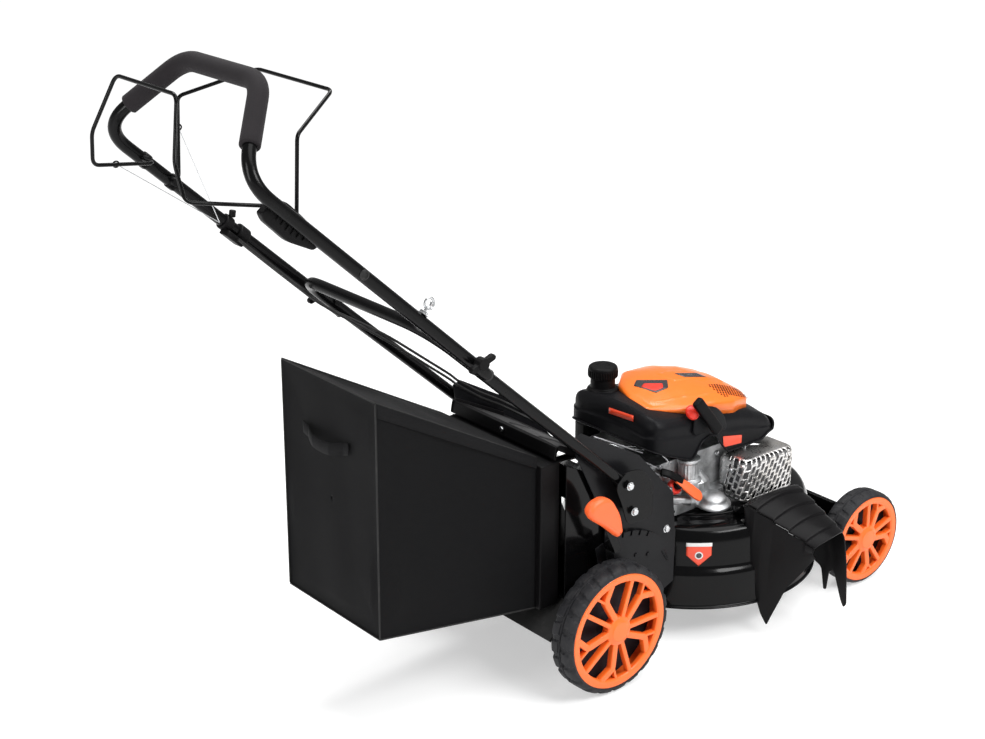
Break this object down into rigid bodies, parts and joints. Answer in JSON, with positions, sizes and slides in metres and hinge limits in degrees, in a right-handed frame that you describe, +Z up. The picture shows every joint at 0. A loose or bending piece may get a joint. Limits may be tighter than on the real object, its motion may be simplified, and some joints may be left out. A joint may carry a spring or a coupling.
{
  "type": "lawn mower",
  "caption": "Petrol walk-behind rotary lawn mower with folding tube handle, two bails, fabric rear grass bag, side chute and orange rims.",
  "frame": {"origin": "the middle of the footprint on the ground: the centre of the bounding box, on its lowest plane, where the tyres stand", "axes": "+X forward, the way the mower travels and its longest side; +Y to the mower's left; +Z up"},
  "size_m": [1.6024, 0.648, 1.229],
  "materials": {
    "black_steel": "gloss",
    "grey_steel": "satin",
    "zinc": "satin",
    "cast_aluminium": "satin",
    "black_plastic": "matte",
    "orange_plastic": "gloss",
    "tyre_rubber": "matte",
    "foam": "matte",
    "rubber": "matte",
    "bag_fabric": "matte"
  },
  "bodies": {
    "deck": {"deck": "black_steel", "rear_housing": "black_steel", "rear_skirt": "rubber", "side_plate_right": "grey_steel", "side_plate_left": "grey_steel", "handle_bracket_right": "black_steel", "handle_bracket_left": "black_steel", "front_cover": "black_plastic", "gearbox": "cast_aluminium", "drive_belt": "rubber", "crankcase": "cast_aluminium", "cylinder": "cast_aluminium", "spark_plug": "black_plastic", "muffler": "zinc", "muffler_guard": "zinc", "carburetor": "cast_aluminium", "air_filter_cover": "black_plastic", "fuel_tank": "black_plastic", "blower_housing": "black_plastic", "top_cover": "orange_plastic", "brake_cable": "rubber", "drive_cable": "rubber"},
    "crank": {"crankshaft": "zinc", "flywheel": "cast_aluminium", "blade_adapter": "grey_steel", "blade": "grey_steel", "blade_bolt": "zinc"},
    "gear_pulley": {"gearbox_pulley": "zinc"},
    "drive_shaft": {"drive_shaft": "zinc"},
    "rear_axle": {"rear_axle": "zinc", "height_lever": "zinc", "lever_grip": "orange_plastic"},
    "front_axle": {"front_axle": "zinc"},
    "height_link": {"height_link": "zinc"},
    "wheel_rear_right": {"tyre_rear_right": "tyre_rubber", "rim_rear_right": "orange_plastic"},
    "wheel_rear_left": {"tyre_rear_left": "tyre_rubber", "rim_rear_left": "orange_plastic"},
    "wheel_front_right": {"tyre_front_right": "tyre_rubber", "rim_front_right": "orange_plastic"},
    "wheel_front_left": {"tyre_front_left": "tyre_rubber", "rim_front_left": "orange_plastic"},
    "rear_door": {"rear_door": "black_plastic"},
    "grass_bag": {"bag_body": "bag_fabric", "bag_frame": "black_plastic"},
    "side_chute": {"side_chute": "black_plastic"},
    "lower_handle": {"lower_handle": "black_steel"},
    "upper_handle": {"upper_handle": "black_steel", "foam_grip": "foam", "bail_bracket_right": "black_plastic", "bail_bracket_left": "black_plastic", "cable_clamp": "black_plastic", "rope_guide": "zinc"},
    "brake_bail": {"brake_bail": "black_steel"},
    "drive_bail": {"drive_bail": "black_steel"},
    "wing_knob_right": {"wing_knob_right": "black_plastic"},
    "wing_knob_left": {"wing_knob_left": "black_plastic"},
    "fuel_cap": {"fuel_cap": "black_plastic"},
    "oil_cap": {"oil_cap": "orange_plastic"},
    "starter_grip": {"starter_grip": "black_plastic"}
  },
  "joints": [
    {"name": "blade_spin", "type": "hinge", "parent": "deck", "child": "crank", "pos_m": [0.4182, 0.054, 0.15], "axis": [0, 0, -1], "continuous": true},
    {"name": "pulley_spin", "type": "hinge", "parent": "deck", "child": "gear_pulley", "pos_m": [0.0732, 0.054, 0.157], "axis": [0, 0, -1], "continuous": true},
    {"name": "shaft_spin", "type": "hinge", "parent": "deck", "child": "drive_shaft", "pos_m": [0.0602, 0.054, 0.115], "axis": [0, 1, 0], "continuous": true},
    {"name": "height_adjust", "type": "hinge", "parent": "deck", "child": "rear_axle", "pos_m": [0.0602, 0.054, 0.115], "axis": [0, 1, 0], "range_deg": [0, 30]},
    {"name": "front_swing", "type": "hinge", "parent": "deck", "child": "front_axle", "pos_m": [0.7602, 0.054, 0.088], "axis": [0, 1, 0], "range_deg": [0, 30]},
    {"name": "link_pin", "type": "hinge", "parent": "rear_axle", "child": "height_link", "pos_m": [0.0202, 0.235, 0.265], "axis": [0, 1, 0], "range_deg": [-30, 0]},
    {"name": "wheel_rear_right_spin", "type": "hinge", "parent": "rear_axle", "child": "wheel_rear_right", "pos_m": [-0.0018, -0.171, 0.127], "axis": [0, 1, 0], "continuous": true},
    {"name": "wheel_rear_left_spin", "type": "hinge", "parent": "rear_axle", "child": "wheel_rear_left", "pos_m": [-0.0018, 0.279, 0.127], "axis": [0, 1, 0], "continuous": true},
    {"name": "wheel_front_right_spin", "type": "hinge", "parent": "front_axle", "child": "wheel_front_right", "pos_m": [0.6982, -0.177, 0.1], "axis": [0, 1, 0], "continuous": true},
    {"name": "wheel_front_left_spin", "type": "hinge", "parent": "front_axle", "child": "wheel_front_left", "pos_m": [0.6982, 0.285, 0.1], "axis": [0, 1, 0], "continuous": true},
    {"name": "door_hinge", "type": "hinge", "parent": "deck", "child": "rear_door", "pos_m": [0.0502, 0.054, 0.413], "axis": [0, 1, 0], "range_deg": [0, 50], "stiffness_Nm_per_rad": 1},
    {"name": "bag_pull", "type": "slide", "parent": "deck", "child": "grass_bag", "axis": [-1, 0, 0], "range_m": [0, 0.32]},
    {"name": "chute_lift", "type": "hinge", "parent": "deck", "child": "side_chute", "pos_m": [0.4302, -0.162, 0.258], "axis": [-1, 0, 0], "range_deg": [0, 45], "stiffness_Nm_per_rad": 0.5},
    {"name": "lower_fold", "type": "hinge", "parent": "deck", "child": "lower_handle", "pos_m": [0.0552, 0.054, 0.389], "axis": [0, 1, 0], "range_deg": [0, 30], "deforming": ["brake_cable", "drive_cable"]},
    {"name": "upper_fold", "type": "hinge", "parent": "lower_handle", "child": "upper_handle", "pos_m": [-0.3128, 0.054, 0.723], "axis": [0, 1, 0], "range_deg": [0, 130]},
    {"name": "brake_bail_squeeze", "type": "hinge", "parent": "upper_handle", "child": "brake_bail", "pos_m": [-0.6738, 0.054, 1.041], "axis": [0, 1, 0], "range_deg": [0, 36], "stiffness_Nm_per_rad": 2},
    {"name": "drive_bail_squeeze", "type": "hinge", "parent": "upper_handle", "child": "drive_bail", "pos_m": [-0.6238, 0.054, 1.006], "axis": [0, -1, 0], "range_deg": [0, 28], "stiffness_Nm_per_rad": 2},
    {"name": "knob_right_turn", "type": "hinge", "parent": "lower_handle", "child": "wing_knob_right", "pos_m": [-0.3128, -0.176, 0.723], "axis": [0, 1, 0], "continuous": true},
    {"name": "knob_left_turn", "type": "hinge", "parent": "lower_handle", "child": "wing_knob_left", "pos_m": [-0.3128, 0.284, 0.723], "axis": [0, 1, 0], "continuous": true},
    {"name": "fuel_cap_turn", "type": "hinge", "parent": "deck", "child": "fuel_cap", "pos_m": [0.2452, 0.126, 0.48], "axis": [0, 0, 1], "continuous": true},
    {"name": "oil_cap_turn", "type": "hinge", "parent": "deck", "child": "oil_cap", "pos_m": [0.2662, -0.0584, 0.2923], "axis": [0, -0.8575, 0.5145], "continuous": true},
    {"name": "starter_pull", "type": "slide", "parent": "deck", "child": "starter_grip", "axis": [0, -0.8, 0.6], "range_m": [0, 0.6], "stiffness_N_per_m": 15}
  ],
  "couplings": [
    {"joint": "front_swing", "follows": "height_adjust", "ratio": 1},
    {"joint": "link_pin", "follows": "height_adjust", "ratio": -1},
    {"joint": "shaft_spin", "follows": "pulley_spin", "ratio": 0.0714}
  ]
}
